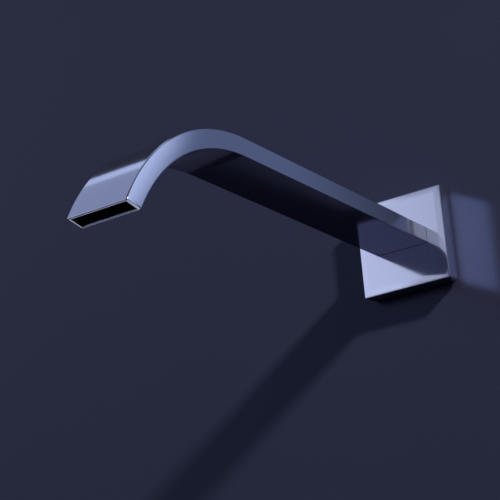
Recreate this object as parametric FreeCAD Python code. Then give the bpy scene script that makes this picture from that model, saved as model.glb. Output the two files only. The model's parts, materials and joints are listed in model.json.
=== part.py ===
"""Wall-mounted basin spout: a flat bent tube that leaves the wall through a square cover plate.

Millimetres. The finished wall is the plane y = 0, the room is on the -Y side and +Z is up.
Places along the spout are given as "out", the distance from the wall into the room.
"""
import FreeCAD, Part
import math
import os

V = FreeCAD.Vector
ALONG_X = V(1, 0, 0)
ALONG_Y = V(0, 1, 0)

# Spout tube: flat rectangular brass tube, bent downwards and cut nearly level at the mouth
tube_width = 30.0
tube_height = 8.8
tube_wall = 1.2
tube_edge_radius = 0.6
bore_edge_radius = 0.3
straight_run = 173.0
bend_radius = 87.5
bend_angle = 61.2
mouth_tilt = 12.5
lip_round = 0.2

# Square cover plate that slides on the tube, with a cushioned border
plate_size = 50.0
plate_corner_radius = 0.8
plate_wall = 2.4
plate_face_wall = 2.0
plate_lip = 1.0
cavity_corner_radius = 1.5
cushion_width = 3.5
cushion_depth = 0.55
opening_gap = 0.25
collar_wall = 1.2
collar_height = 0.9

# Rubber grommet that grips the tube, and foam gasket against the wall
grommet_thickness = 2.0
grommet_width = 2.0
grommet_grip_gap = 0.05
grommet_seat_gap = 0.05
gasket_thickness = 2.0
gasket_width = 2.8
gasket_inset = 0.8
gasket_corner_radius = 1.2

# Flange brazed to the tube, with a sealed spigot behind it
tube_flange_thickness = 3.6
socket_depth = 2.6
braze_gap = 0.05
cover_clearance = 0.4
flange_clearance = 1.4
flange_edge_chamfer = 0.4
spigot_radius = 7.0
spigot_length = 12.0
spigot_bore_radius = 4.5
spigot_fit_gap = 0.05
o_ring_section = 1.8
o_ring_groove_width = 2.4
o_ring_groove_depth = 1.38
o_ring_first = 2.6
o_ring_pitch = 4.6

# Base screwed into the wall fitting: pipe thread of 1/2 inch, drawn at its major diameter
base_flange_thickness = 4.0
wrench_flat_depth = 2.0
thread_radius = 10.4775
thread_end = 16.0
thread_chamfer = 1.2
thread_relief_radius = 9.2
thread_relief_width = 1.6
spigot_end_gap = 0.6
base_web = 2.0
base_web_bore_radius = 5.2
washer_thickness = 1.0
washer_width = 2.8
washer_thread_gap = 0.12
washer_seat_gap = 0.1

# Countersunk machine screws that hold the tube's flange on the base
screw_count = 4
screw_angle = 55.0
screw_radius = 1.5
screw_head_radius = 3.0
screw_edge = 4.2
screw_hole_gap = 0.15
screw_thread_gap = 0.03
screw_reach = 2.4
screw_tip_gap = 0.2
screw_socket_across = 2.0
screw_socket_depth = 1.2

# Flow regulator and screen in the inlet
regulator_radius = 7.4
regulator_gap = 0.08
regulator_length = 3.6
regulator_floor = 1.2
regulator_rim = 1.3
regulator_core_radius = 2.6
regulator_ports = 8
regulator_port_radius = 0.7
regulator_ring_section = 1.8
regulator_ring_gap = 0.2
screen_thickness = 0.6
screen_hole_radius = 0.55
screen_hole_pitch = 1.7
screen_rim = 1.2

# Stream straightener pushed into the mouth
straightener_recess = 9.0
straightener_length = 8.0
straightener_gap = 0.05
straightener_bar = 0.7
straightener_columns = 10
straightener_rows = 2

# Room to overshoot a face when cutting through it, in millimetres and in degrees of the bend
overshoot = 1.0
cell_overrun = 1.0

# Largest share of a side that a corner radius may take, and the smallest length that counts
largest_corner = 0.49
tiny = 1e-4

# Levels in front of the wall, stacked from the wall outwards
flange_joint_out = base_flange_thickness
flange_front_out = flange_joint_out + tube_flange_thickness
socket_floor_out = flange_front_out - socket_depth
grommet_back_out = flange_front_out + cover_clearance
grommet_front_out = grommet_back_out + grommet_thickness
plate_front_out = grommet_front_out + plate_lip
cavity_out = plate_front_out - plate_face_wall

# Radii and half sizes that follow from the plate and the thread
gasket_outer_half = plate_size / 2 - gasket_inset
gasket_inner_half = gasket_outer_half - gasket_width
flange_radius = gasket_inner_half - flange_clearance
screw_circle = flange_radius - screw_edge
washer_radius = thread_radius + washer_thread_gap + washer_width
washer_seat_radius = washer_radius + washer_seat_gap
base_bore_radius = spigot_radius + spigot_fit_gap

# Levels behind the wall, along the inlet
spigot_end = spigot_length - flange_joint_out
base_bore_end = spigot_end + spigot_end_gap
pocket_start = base_bore_end + base_web
regulator_end = pocket_start + regulator_gap + regulator_length
screen_start = regulator_end + regulator_gap

# The bend turns about a line along X, below the straight run
bend_axis = V(0, -straight_run, -tube_height / 2 - bend_radius)
bend_middle_radius = bend_radius + tube_height / 2


def rounded_section(width, height, radius, out):
    """Face with rounded corners, square to Y and centred on the tube."""
    x = width / 2
    z = height / 2
    r = min(radius, largest_corner * width, largest_corner * height)
    c = r * (1 - math.sqrt(0.5))
    edges = []
    for sx, sz in ((1, 1), (-1, 1), (-1, -1), (1, -1)):
        upright = V(sx * x, -out, sz * (z - r))
        corner = V(sx * (x - c), -out, sz * (z - c))
        level = V(sx * (x - r), -out, sz * z)
        ends = (upright, level) if sx == sz else (level, upright)
        edges.append(Part.Arc(ends[0], corner, ends[1]).toShape())
    sides = []
    for index, edge in enumerate(edges):
        start = edge.Vertexes[-1].Point
        end = edges[(index + 1) % len(edges)].Vertexes[0].Point
        sides.append(edge)
        sides.append(Part.LineSegment(start, end).toShape())
    return Part.Face(Part.Wire(sides))


def rounded_bar(width, height, radius, out_back, out_front):
    """Straight bar along Y with rounded corners."""
    section = rounded_section(width, height, radius, out_back)
    return section.extrude(V(0, out_back - out_front, 0))


def disc(radius, y_start, y_end, x=0.0, z=0.0):
    """Cylinder along Y."""
    return Part.makeCylinder(radius, y_end - y_start, V(x, y_start, z), ALONG_Y)


def ring(outer_radius, inner_radius, y_start, y_end):
    """Flat ring along Y."""
    return disc(outer_radius, y_start, y_end).cut(disc(inner_radius, y_start, y_end))


def o_ring(middle_radius, section_radius, y_middle):
    """Torus about Y."""
    return Part.makeTorus(middle_radius, section_radius, V(0, y_middle, 0), ALONG_Y)


def bent_bar(width, height, radius, out_back, turn):
    """Bar that runs straight out from the wall and then turns downwards."""
    straight = rounded_bar(width, height, radius, out_back, straight_run)
    section = rounded_section(width, height, radius, straight_run)
    bend = section.revolve(bend_axis, ALONG_X, turn)
    return straight.fuse(bend).removeSplitter()


def bend_piece(section, start, turn):
    """Revolve a section through part of the bend, from a start angle in degrees."""
    piece = section.revolve(bend_axis, ALONG_X, turn)
    piece.rotate(bend_axis, ALONG_X, start)
    return piece


def mouth_middle():
    """Point where the tube's middle line meets the mouth."""
    a = math.radians(bend_angle)
    return bend_axis + V(0, -math.sin(a), math.cos(a)) * bend_middle_radius


def below_mouth():
    """Block that covers everything beyond the slanted mouth."""
    size = 4 * (tube_width + tube_height)
    block = Part.makeBox(size, size, size, V(-size / 2, -size / 2, -size))
    block.rotate(V(0, 0, 0), ALONG_X, -mouth_tilt)
    block.translate(mouth_middle())
    return block


def mouth_edges(shape):
    """Edges of the rim, which all lie in the plane of the mouth."""
    t = math.radians(mouth_tilt)
    middle = mouth_middle()
    normal = V(0, math.sin(t), math.cos(t))
    found = []
    for edge in shape.Edges:
        points = edge.discretize(5)
        if max(abs((point - middle).dot(normal)) for point in points) < tiny:
            found.append(edge)
    return found


def make_spout_tube():
    slant = math.tan(math.radians(90 - bend_angle - mouth_tilt))
    overrun = tube_height / 2 * abs(slant) + 2 * overshoot
    turn = bend_angle + math.degrees(overrun / bend_radius)
    outside = bent_bar(tube_width, tube_height, tube_edge_radius, socket_floor_out, turn)
    inside = bent_bar(tube_width - 2 * tube_wall, tube_height - 2 * tube_wall,
                      bore_edge_radius, socket_floor_out, turn)
    tube = outside.cut(inside).cut(below_mouth())
    return tube.makeFillet(min(lip_round, tube_wall / 4), mouth_edges(tube))


def cushioned_slab():
    """Plate block whose front rolls back along all four borders."""
    half = plate_size / 2
    front = -plate_front_out
    border = front + cushion_depth
    radius = (cushion_width ** 2 + cushion_depth ** 2) / (2 * cushion_depth)
    half_turn = math.asin(cushion_width / radius) / 2
    mid_x = half - cushion_width + radius * math.sin(half_turn)
    mid_y = front + radius * (1 - math.cos(half_turn))
    flat_x = half - cushion_width
    back = -gasket_thickness
    edges = [
        Part.LineSegment(V(-half, back, -half), V(-half, border, -half)).toShape(),
        Part.Arc(V(-half, border, -half), V(-mid_x, mid_y, -half), V(-flat_x, front, -half)).toShape(),
        Part.LineSegment(V(-flat_x, front, -half), V(flat_x, front, -half)).toShape(),
        Part.Arc(V(flat_x, front, -half), V(mid_x, mid_y, -half), V(half, border, -half)).toShape(),
        Part.LineSegment(V(half, border, -half), V(half, back, -half)).toShape(),
        Part.LineSegment(V(half, back, -half), V(-half, back, -half)).toShape(),
    ]
    upright = Part.Face(Part.Wire(edges)).extrude(V(0, 0, plate_size))
    level = upright.copy()
    level.rotate(V(0, 0, 0), ALONG_Y, 90)
    outline = rounded_bar(plate_size, plate_size, plate_corner_radius, gasket_thickness, plate_front_out)
    return upright.common(level).common(outline)


def grommet_size(extra):
    """Outline of the grommet, grown by an even gap."""
    grow = 2 * (grommet_grip_gap + grommet_width + extra)
    return tube_width + grow, tube_height + grow, tube_edge_radius + grow / 2


def make_wall_plate():
    inner = plate_size - 2 * plate_wall
    cavity = rounded_bar(inner, inner, cavity_corner_radius, gasket_thickness - overshoot, cavity_out)
    plate = cushioned_slab().cut(cavity)
    collar = rounded_bar(*grommet_size(grommet_seat_gap + collar_wall),
                         cavity_out - collar_height, cavity_out)
    seat = rounded_bar(*grommet_size(grommet_seat_gap), gasket_thickness, grommet_front_out)
    grow = 2 * opening_gap
    opening = rounded_bar(tube_width + grow, tube_height + grow, tube_edge_radius + opening_gap,
                          gasket_thickness, plate_front_out + overshoot)
    return plate.fuse(collar).cut(seat).cut(opening).removeSplitter()


def make_plate_grommet():
    body = rounded_bar(*grommet_size(0), grommet_back_out, grommet_front_out)
    grow = 2 * grommet_grip_gap
    hole = rounded_bar(tube_width + grow, tube_height + grow, tube_edge_radius + grommet_grip_gap,
                       grommet_back_out - overshoot, grommet_front_out + overshoot)
    return body.cut(hole)


def make_plate_gasket():
    outer = 2 * gasket_outer_half
    inner = 2 * gasket_inner_half
    body = rounded_bar(outer, outer, gasket_corner_radius, 0, gasket_thickness)
    hole = rounded_bar(inner, inner, gasket_corner_radius, -overshoot, gasket_thickness + overshoot)
    return body.cut(hole)


def screw_places():
    """Centres of the screws, above and below the tube."""
    places = []
    for index in range(screw_count):
        turn = screw_angle if index % 2 == 0 else 180 - screw_angle
        angle = math.radians(turn + 180 * (index // 2))
        places.append((screw_circle * math.cos(angle), screw_circle * math.sin(angle)))
    return places


def head_cone(grow):
    """Countersunk head of a screw on the axis, grown by an even gap."""
    depth = screw_head_radius - screw_radius
    return Part.makeCone(screw_head_radius + grow, screw_radius + grow, depth,
                         V(0, -flange_front_out, 0), ALONG_Y)


def chamfered_disc(radius, chamfer, y_start, y_end):
    """Cylinder along Y with both rims chamfered."""
    body = disc(radius, y_start, y_end)
    rims = [edge for edge in body.Edges if len(edge.Vertexes) == 1]
    return body.makeChamfer(chamfer, rims)


def make_tube_flange():
    flange = chamfered_disc(flange_radius, flange_edge_chamfer, -flange_front_out, -flange_joint_out)
    spigot = disc(spigot_radius, -flange_joint_out, spigot_end)
    body = flange.fuse(spigot)
    for index in range(2):
        start = -flange_joint_out + o_ring_first + index * o_ring_pitch
        groove_floor = spigot_radius - o_ring_groove_depth
        body = body.cut(ring(spigot_radius + overshoot, groove_floor, start, start + o_ring_groove_width))
    grow = 2 * braze_gap
    socket = rounded_bar(tube_width + grow, tube_height + grow, tube_edge_radius + braze_gap,
                         socket_floor_out, flange_front_out + overshoot)
    body = body.cut(socket)
    body = body.cut(disc(spigot_bore_radius, -flange_front_out, spigot_end + overshoot))
    for x, z in screw_places():
        hole = disc(screw_radius + screw_hole_gap, -flange_front_out, overshoot)
        hole = hole.fuse(head_cone(screw_hole_gap))
        hole.translate(V(x, 0, z))
        body = body.cut(hole)
    return body.removeSplitter()


def o_ring_middle(index):
    """Middle of one O-ring groove along the inlet."""
    return -flange_joint_out + o_ring_first + index * o_ring_pitch + o_ring_groove_width / 2


def make_spigot_o_ring(index):
    """O-ring drawn as squeezed between the groove's floor and the base's bore."""
    floor = spigot_radius - o_ring_groove_depth
    squeezed = min(o_ring_section, base_bore_radius - floor - spigot_fit_gap / 2)
    return o_ring(floor + spigot_fit_gap / 4 + squeezed / 2, squeezed / 2, o_ring_middle(index))


def make_wall_base():
    body = chamfered_disc(flange_radius, flange_edge_chamfer, -base_flange_thickness, 0)
    for side in (-1, 1):
        size = 2 * flange_radius
        block = Part.makeBox(size, size, size, V(-size / 2, -size / 2, -size / 2))
        block.translate(V(side * (flange_radius - wrench_flat_depth + size / 2), 0, 0))
        body = body.cut(block)
    body = body.cut(ring(washer_seat_radius, thread_relief_radius, -washer_thickness, overshoot))
    body = body.fuse(disc(thread_relief_radius, -overshoot, thread_relief_width))
    thread = disc(thread_radius, thread_relief_width, thread_end)
    rims = [edge for edge in thread.Edges if len(edge.Vertexes) == 1]
    end_rim = [edge for edge in rims if edge.Vertexes[0].Point.y > thread_end - tiny]
    body = body.fuse(thread.makeChamfer(thread_chamfer, end_rim))
    body = body.cut(disc(base_bore_radius, -base_flange_thickness - overshoot, base_bore_end))
    body = body.cut(disc(base_web_bore_radius, 0, thread_end))
    body = body.cut(disc(regulator_radius + regulator_gap, pocket_start, thread_end + overshoot))
    for x, z in screw_places():
        depth = screw_reach + screw_tip_gap
        hole = disc(screw_radius + screw_thread_gap, -base_flange_thickness - overshoot,
                    depth - base_flange_thickness, x, z)
        body = body.cut(hole)
    return body.removeSplitter()


def make_thread_washer():
    return ring(washer_radius, thread_radius + washer_thread_gap, -washer_thickness, 0)


def make_flange_screws():
    """Four alike countersunk screws with hexagon sockets."""
    head = head_cone(0)
    shank = disc(screw_radius, -flange_front_out, screw_reach - flange_joint_out)
    corners = []
    for index in range(7):
        angle = math.radians(60 * index)
        reach = screw_socket_across / math.sqrt(3)
        corners.append(V(reach * math.cos(angle), -flange_front_out, reach * math.sin(angle)))
    socket = Part.Face(Part.makePolygon(corners)).extrude(V(0, screw_socket_depth, 0))
    screw = head.fuse(shank).cut(socket).removeSplitter()
    copies = []
    for x, z in screw_places():
        one = screw.copy()
        one.translate(V(x, 0, z))
        copies.append(one)
    return Part.makeCompound(copies)


def make_flow_regulator():
    start = pocket_start + regulator_gap
    body = disc(regulator_radius, start, regulator_end)
    channel = ring(regulator_radius - regulator_rim, regulator_core_radius, start + regulator_floor,
                   regulator_end + overshoot)
    body = body.cut(channel)
    port_circle = regulator_core_radius + regulator_port_radius + regulator_ring_section
    for index in range(regulator_ports):
        angle = 2 * math.pi * index / regulator_ports
        port = disc(regulator_port_radius, start - overshoot, regulator_end,
                    port_circle * math.cos(angle), port_circle * math.sin(angle))
        body = body.cut(port)
    return body


def make_regulator_ring():
    floor = pocket_start + regulator_gap + regulator_floor
    radius = regulator_ring_section / 2
    middle = regulator_core_radius + regulator_ring_gap + radius
    return o_ring(middle, radius, floor + radius)


def make_inlet_screen():
    """Perforated disc with a plain rim and rows of round holes."""
    body = disc(regulator_radius, screen_start, screen_start + screen_thickness)
    reach = regulator_radius - screen_rim - screen_hole_radius
    rows = int(reach / (screen_hole_pitch * math.sqrt(0.75)))
    holes = []
    for row in range(-rows, rows + 1):
        z = row * screen_hole_pitch * math.sqrt(0.75)
        shift = 0.5 * screen_hole_pitch * (row % 2)
        columns = int(reach / screen_hole_pitch) + 1
        for column in range(-columns, columns + 1):
            x = column * screen_hole_pitch + shift
            if math.hypot(x, z) < reach:
                holes.append(disc(screen_hole_radius, screen_start - overshoot,
                                  screen_start + screen_thickness + overshoot, x, z))
    return body.cut(Part.makeCompound(holes))


def make_stream_straightener():
    """Grid of square channels that follows the bend."""
    width = tube_width - 2 * (tube_wall + straightener_gap)
    height = tube_height - 2 * (tube_wall + straightener_gap)
    turn = math.degrees(straightener_length / bend_middle_radius)
    start = bend_angle - math.degrees(straightener_recess / bend_middle_radius) - turn
    body = bend_piece(rounded_section(width, height, bore_edge_radius, straight_run), start, turn)
    cell_width = (width - straightener_bar) / straightener_columns - straightener_bar
    cell_height = (height - straightener_bar) / straightener_rows - straightener_bar
    cells = []
    for row in range(straightener_rows):
        for column in range(straightener_columns):
            x = -width / 2 + straightener_bar + column * (cell_width + straightener_bar)
            z = -height / 2 + straightener_bar + row * (cell_height + straightener_bar)
            corners = [
                V(x, -straight_run, z),
                V(x + cell_width, -straight_run, z),
                V(x + cell_width, -straight_run, z + cell_height),
                V(x, -straight_run, z + cell_height),
                V(x, -straight_run, z),
            ]
            cell = Part.Face(Part.makePolygon(corners))
            cells.append(bend_piece(cell, start - cell_overrun, turn + 2 * cell_overrun))
    return body.cut(Part.makeCompound(cells))


PIECES = {
    "spout_tube": make_spout_tube(),
    "stream_straightener": make_stream_straightener(),
    "tube_flange": make_tube_flange(),
    "spigot_o_ring_front": make_spigot_o_ring(0),
    "spigot_o_ring_rear": make_spigot_o_ring(1),
    "flange_screws": make_flange_screws(),
    "wall_base": make_wall_base(),
    "thread_washer": make_thread_washer(),
    "flow_regulator": make_flow_regulator(),
    "regulator_ring": make_regulator_ring(),
    "inlet_screen": make_inlet_screen(),
    "wall_plate": make_wall_plate(),
    "plate_grommet": make_plate_grommet(),
    "plate_gasket": make_plate_gasket(),
}

os.makedirs("parts", exist_ok=True)
for node, shape in PIECES.items():
    shape.exportStep("parts/" + node + ".step")
    print(node, "solids", len(shape.Solids), "valid", shape.isValid(), "volume", round(shape.Volume, 1))
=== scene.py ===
"""Wall-mounted basin spout: a flat chromed tube that leaves the wall through a square cover plate.

Metres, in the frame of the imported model: the wall is the plane y = 0, the room is on the -Y side, +Z is up.
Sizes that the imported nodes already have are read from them, and the rest are properties that a user may change.
"""

import json
import math

import bmesh
import bpy
from bpy.props import FloatProperty, FloatVectorProperty, IntProperty, PointerProperty
from mathutils import Matrix, Vector


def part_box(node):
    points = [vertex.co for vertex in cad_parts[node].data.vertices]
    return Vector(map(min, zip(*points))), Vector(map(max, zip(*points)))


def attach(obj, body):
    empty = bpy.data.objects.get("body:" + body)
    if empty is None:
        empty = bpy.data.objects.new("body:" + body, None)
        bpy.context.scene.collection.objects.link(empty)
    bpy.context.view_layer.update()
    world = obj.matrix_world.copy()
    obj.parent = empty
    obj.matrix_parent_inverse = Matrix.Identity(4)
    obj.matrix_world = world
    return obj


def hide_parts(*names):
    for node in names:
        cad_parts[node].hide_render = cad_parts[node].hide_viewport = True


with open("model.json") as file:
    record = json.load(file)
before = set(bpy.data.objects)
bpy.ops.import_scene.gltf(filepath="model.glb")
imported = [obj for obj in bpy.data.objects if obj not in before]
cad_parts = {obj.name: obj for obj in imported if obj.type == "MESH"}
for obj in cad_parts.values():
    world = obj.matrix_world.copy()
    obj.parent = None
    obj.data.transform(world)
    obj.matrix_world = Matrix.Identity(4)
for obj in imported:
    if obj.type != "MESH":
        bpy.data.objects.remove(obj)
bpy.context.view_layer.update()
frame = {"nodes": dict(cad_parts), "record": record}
NODE_BOX = {node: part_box(node) for node in frame["nodes"]}

bl_info = {
    "name": "Wall-mounted basin spout",
    "version": (1, 0, 0),
    "blender": (4, 5, 0),
    "location": "3D View > Sidebar > Spout",
    "description": "Dresses the packed basin spout with its smooth chromed pieces, finishes and stage",
    "category": "Object",
}

MM = 0.001
TINY = 1e-6
ROOM_SIDE = Vector((0, -1, 0))
FACING_ROOM = (math.pi / 2, 0, 0)
SHARP = math.radians(30)
SQUARE = math.radians(60)


def length(name, description, millimetres):
    """Property for a size in metres, given in millimetres."""
    return FloatProperty(name=name, description=description, default=millimetres * MM, unit="LENGTH",
                         precision=5)


def angle(name, description, degrees):
    """Property for an angle, given in degrees."""
    return FloatProperty(name=name, description=description, default=math.radians(degrees), unit="ROTATION")


def power(name, description, default):
    """Property for the power of a lamp, in watts."""
    return FloatProperty(name=name, description=description, default=default, unit="POWER")


def number(name, description, default):
    """Property for a plain number."""
    return FloatProperty(name=name, description=description, default=default)


def count(name, description, default):
    """Property for a whole number."""
    return IntProperty(name=name, description=description, default=default, min=1)


def colour(name, description, default):
    """Property for a linear colour."""
    return FloatVectorProperty(name=name, description=description, default=default, subtype="COLOR", size=3,
                               min=0.0, max=1.0)


def slot_colour(slot):
    """Base colour that the record gives a material slot."""
    return next(m["base_color"] for m in frame["record"]["materials"] if m["slot"] == slot)


class SpoutSizes(bpy.types.PropertyGroup):
    """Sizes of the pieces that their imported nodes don't give"""
    tube_wall: length("Tube wall", "Thickness of the tube's wall", 1.2)
    tube_edge_radius: length("Tube edge radius", "Radius of the tube's long outer edges", 0.6)
    bore_edge_radius: length("Bore edge radius", "Radius of the tube's long inner edges", 0.3)
    straight_run: length("Straight run", "From the wall to where the bend starts", 173.0)
    bend_radius: length("Bend radius", "Radius of the underside of the bend", 87.5)
    bend_angle: angle("Bend angle", "How far the tube's middle line turns down", 61.2)
    mouth_tilt: angle("Mouth tilt", "Slope of the mouth against the horizontal", 12.5)
    lip_round: length("Lip round", "Rounding of the mouth's outer edges", 0.8)
    bore_lip_round: length("Bore lip round", "Rounding of the mouth's inner edges", 0.3)
    bend_steps: count("Bend steps", "Rings of faces along the bend", 120)
    corner_steps: count("Corner steps", "Faces across a rounded corner", 8)
    plate_corner_radius: length("Plate corner radius", "Radius of the plate's four corners", 0.8)
    plate_wall: length("Plate wall", "Thickness of the plate's sides", 2.4)
    cavity_corner_radius: length("Cavity corner radius", "Radius of the plate's inner corners", 1.5)
    plate_face_wall: length("Plate face wall", "Thickness of the plate's face", 2.0)
    cushion_width: length("Cushion width", "Width of the border where the face rolls back", 3.5)
    cushion_depth: length("Cushion depth", "How far the face rolls back at its border", 0.55)
    border_round: length("Border round", "Rounding between the plate's face and its sides", 0.3)
    opening_gap: length("Opening gap", "Gap between the tube and the plate's opening", 0.15)
    close_gap: length("Close gap", "Gap between pieces that fit closely, such as the grommet's", 0.05)
    collar_wall: length("Collar wall", "Wall of the collar that holds the grommet", 1.2)
    collar_height: length("Collar height", "Height of that collar", 0.9)
    gasket_width: length("Gasket width", "Width of the foam gasket", 2.8)
    gasket_corner_radius: length("Gasket corner radius", "Radius of the gasket's corners", 1.2)
    soft_round: length("Soft round", "Rounding of foam and rubber edges", 0.25)
    bead: length("Braze bead", "Leg of the brazed bead round the tube", 0.8)
    flange_chamfer: length("Flange chamfer", "Chamfer on the rims of the turned brass", 0.4)
    spigot_radius: length("Spigot radius", "Radius of the flange's spigot", 7.0)
    spigot_bore: length("Spigot bore", "Radius of the waterway through the spigot", 4.5)
    groove_slack: length("Groove slack", "Room beside the O-rings, and behind the spigot", 0.25)
    screw_radius: length("Screw radius", "Radius of the flange screws", 1.5)
    screw_head_radius: length("Screw head radius", "Radius of their countersunk heads", 3.0)
    screw_socket: length("Screw socket", "Width across the flats of their sockets", 2.0)
    screw_socket_depth: length("Screw socket depth", "Depth of their sockets", 1.2)
    screw_hole_gap: length("Screw hole gap", "Gap round the screws in the flange", 0.15)
    screw_thread_gap: length("Screw thread gap", "Gap round the screws in the base", 0.03)
    screw_tip_gap: length("Screw tip gap", "From the screws' tips to the ends of their holes", 0.2)
    screw_steps: count("Screw steps", "Faces round a screw or its hole", 48)
    thread_radius: length("Thread radius", "Major radius of the pipe thread", 10.4775)
    thread_root: length("Thread root", "Radius at the bottom of the thread", 9.28)
    thread_sink: length("Thread sink", "How far the thread's ridge reaches into the base", 0.25)
    thread_start: length("Thread start", "From the wall to the first thread", 1.6)
    thread_pitch: length("Thread pitch", "Advance of the thread in one turn", 25.4 / 14)
    thread_chamfer: length("Thread chamfer", "Lead-in chamfer at the thread's end", 1.2)
    thread_relief: length("Thread relief", "Radius of the groove at the thread's shoulder", 9.2)
    thread_steps: count("Thread steps", "Faces round one turn of the thread", 72)
    web_bore: length("Web bore", "Radius of the waterway through the base", 5.2)
    turned_steps: count("Turned steps", "Faces round a turned piece", 128)


class SpoutFinish(bpy.types.PropertyGroup):
    """Colours of the finishes"""
    chrome: colour("Chrome", "Mirror chrome plating", slot_colour("mirror_chrome"))
    chrome_haze: colour("Chrome haze", "Chrome where it is faintly wiped", (0.74, 0.755, 0.79))
    # Painted shade: the bore's colour is darkened almost to black to stand in for the shade inside the tube. Its
    # dull, rough plating is real.
    bore: colour("Bore", "Dull plating inside the tube", (0.022, 0.022, 0.026))
    brass: colour("Brass", "Turned brass", slot_colour("bare_brass"))
    brass_dark: colour("Dark brass", "Brass where it has tarnished", (0.42, 0.27, 0.11))
    steel: colour("Steel", "Stainless steel", slot_colour("stainless_steel"))
    steel_dark: colour("Dark steel", "Steel in its scratches", (0.42, 0.42, 0.43))
    rubber: colour("Rubber", "Black rubber", slot_colour("black_rubber"))
    rubber_dust: colour("Rubber bloom", "Grey bloom on the rubber", (0.045, 0.045, 0.047))
    foam: colour("Foam", "Grey foam", slot_colour("grey_foam"))
    # Painted shade: a near-black colour painted in the foam's pores and in spots on the tube's bore, where shade
    # falls.
    pore: colour("Pores", "Open pores of the foam, and dark spots in the tube's bore", (0.015, 0.015, 0.017))
    fibre: colour("Fibre", "Red vulcanised fibre", slot_colour("red_fibre"))
    fibre_fleck: colour("Fibre flecks", "Paler flecks of the fibre", (0.5, 0.2, 0.13))
    white: colour("White acetal", "Moulded white acetal", slot_colour("white_acetal"))
    white_shade: colour("White acetal shade", "Its slight unevenness", (0.72, 0.73, 0.7))
    black: colour("Black acetal", "Moulded black acetal", slot_colour("black_acetal"))
    black_shade: colour("Black acetal shade", "Its slight unevenness", (0.05, 0.05, 0.055))


class SpoutStage(bpy.types.PropertyGroup):
    """Camera, light and surroundings"""
    camera_place: FloatVectorProperty(name="Camera place", description="Where the camera stands",
                                      default=(0.3519, -0.6876, -0.2555), subtype="TRANSLATION")
    camera_yaw: angle("Camera yaw", "Turn of the view to the left of square to the wall", 33.38)
    camera_pitch: angle("Camera pitch", "How far the view points up", 18.75)
    camera_roll: angle("Camera roll", "Roll of the view", -4.6)
    camera_lens: number("Camera lens", "Focal length in millimetres on a 36 mm sensor", 111.15)
    wall: colour("Wall", "Plain satin wall", (0.028, 0.0275, 0.048))
    wall_sheen: colour("Wall sheen", "Tint of the wall's satin sheen", (0.58, 0.7, 1.0))
    wall_patch: colour("Wall patches", "Slight unevenness of the paint", (0.0315, 0.031, 0.0535))
    floor: colour("Floor", "Plain pale floor", (0.62, 0.63, 0.68))
    room_low: colour("Room, low", "Room as seen below the horizon", (0.045, 0.051, 0.115))
    room_middle: colour("Room, middle", "Pale room as seen above the horizon", (0.575, 0.635, 0.95))
    room_high: colour("Room, high", "Room as seen overhead", (0.24, 0.277, 0.475))
    room_light: number("Room light", "Share of the room's brightness that lights matt surfaces", 0.2)
    faint_panel: colour("Faint panel", "Wide panel to the right, in the tube's side", (0.09, 0.118, 0.235))
    side_panel: colour("Side panel", "Soft panel to the right, in the tube's side", (0.5, 0.6, 0.97))
    top_strip: colour("Top strip", "Soft strip above the wall, in the bend", (0.46, 0.54, 0.85))
    lamp: colour("Lamps", "Colour of the key lamp and the rear lamp", (0.86, 0.92, 1.0))
    patch: colour("Patch", "Colour of the light that the plate's side throws on the wall", (0.57, 0.74, 1.0))
    key_power: power("Key lamp", "Soft lamp at the upper right", 34.0)
    patch_power: power("Patch lamp", "Narrow lamp on the wall beside the plate", 0.0062)
    rear_power: power("Rear lamp", "Soft lamp behind the wall", 14.0)
    wall_gap: length("Wall gap", "From the frame's wall plane to the painted wall", 0.2)
    wall_width: length("Wall width", "Width of the painted wall and the floor", 3000.0)
    wall_top: length("Wall top", "From the spout up to the wall's top edge", 535.0)
    floor_drop: length("Floor drop", "From the spout down to the floor", 280.0)
    floor_depth: length("Floor depth", "From the wall to the floor's front edge", 1400.0)
    floor_shine: length("Floor shine", "Depth of the floor that metal shows", 130.0)


def sizes():
    return bpy.context.scene.spout_sizes


# Editing a mesh by hand: selecting, shaping and joining

def clear_selection():
    """Leave edit mode with nothing selected."""
    if bpy.context.mode != "OBJECT":
        bpy.ops.object.mode_set(mode="OBJECT")
    bpy.ops.object.select_all(action="DESELECT")


def make_active(piece):
    clear_selection()
    piece.select_set(True)
    bpy.context.view_layer.objects.active = piece


def edit(piece):
    make_active(piece)
    bpy.ops.object.mode_set(mode="EDIT")


def pick_all(kind=None):
    """Select the whole mesh in edit mode."""
    if kind:
        bpy.ops.mesh.select_mode(type=kind)
    bpy.ops.mesh.select_all(action="SELECT")


def pick(kind, test):
    """Select the vertices, edges or faces of the mesh in edit mode that pass a test."""
    bpy.ops.mesh.select_mode(type=kind)
    bpy.ops.mesh.select_all(action="DESELECT")
    mesh = bpy.context.object.data
    working = bmesh.from_edit_mesh(mesh)
    parts = {"VERT": working.verts, "EDGE": working.edges, "FACE": working.faces}[kind]
    found = [part for part in parts if test(part)]
    if not found:
        raise RuntimeError("nothing to select on " + bpy.context.object.name)
    for part in found:
        part.select_set(True)
    working.select_flush_mode()
    bmesh.update_edit_mesh(mesh)


def on_rim(edge):
    """Test for edges of an open rim."""
    return edge.is_boundary


def edges_in_plane(point, normal):
    """Test for edges that lie in a plane."""
    def test(edge):
        return all(abs((vert.co - point).dot(normal)) < TINY for vert in edge.verts)
    return test


def settle(scale=(1, 1, 1)):
    """Put the new object's place, turn and scale into its mesh. Returns the object."""
    piece = bpy.context.object
    piece.scale = scale
    bpy.ops.object.transform_apply(location=True, rotation=True, scale=True)
    return piece


def add_plane(width, height, place, turn=(0, 0, 0)):
    """Rectangle with its place in its mesh."""
    clear_selection()
    bpy.ops.mesh.primitive_plane_add(size=1, location=place, rotation=turn)
    return settle((width, height, 1))


def add_section(width, height, radius, y):
    """Rounded rectangle, square to Y, left in edit mode and selected."""
    section = add_plane(width, height, (0, y, 0), FACING_ROOM)
    bpy.ops.object.mode_set(mode="EDIT")
    pick_all("VERT")
    bpy.ops.mesh.bevel(offset=radius, segments=sizes().corner_steps, affect="VERTICES")
    pick_all("FACE")
    return section


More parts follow.
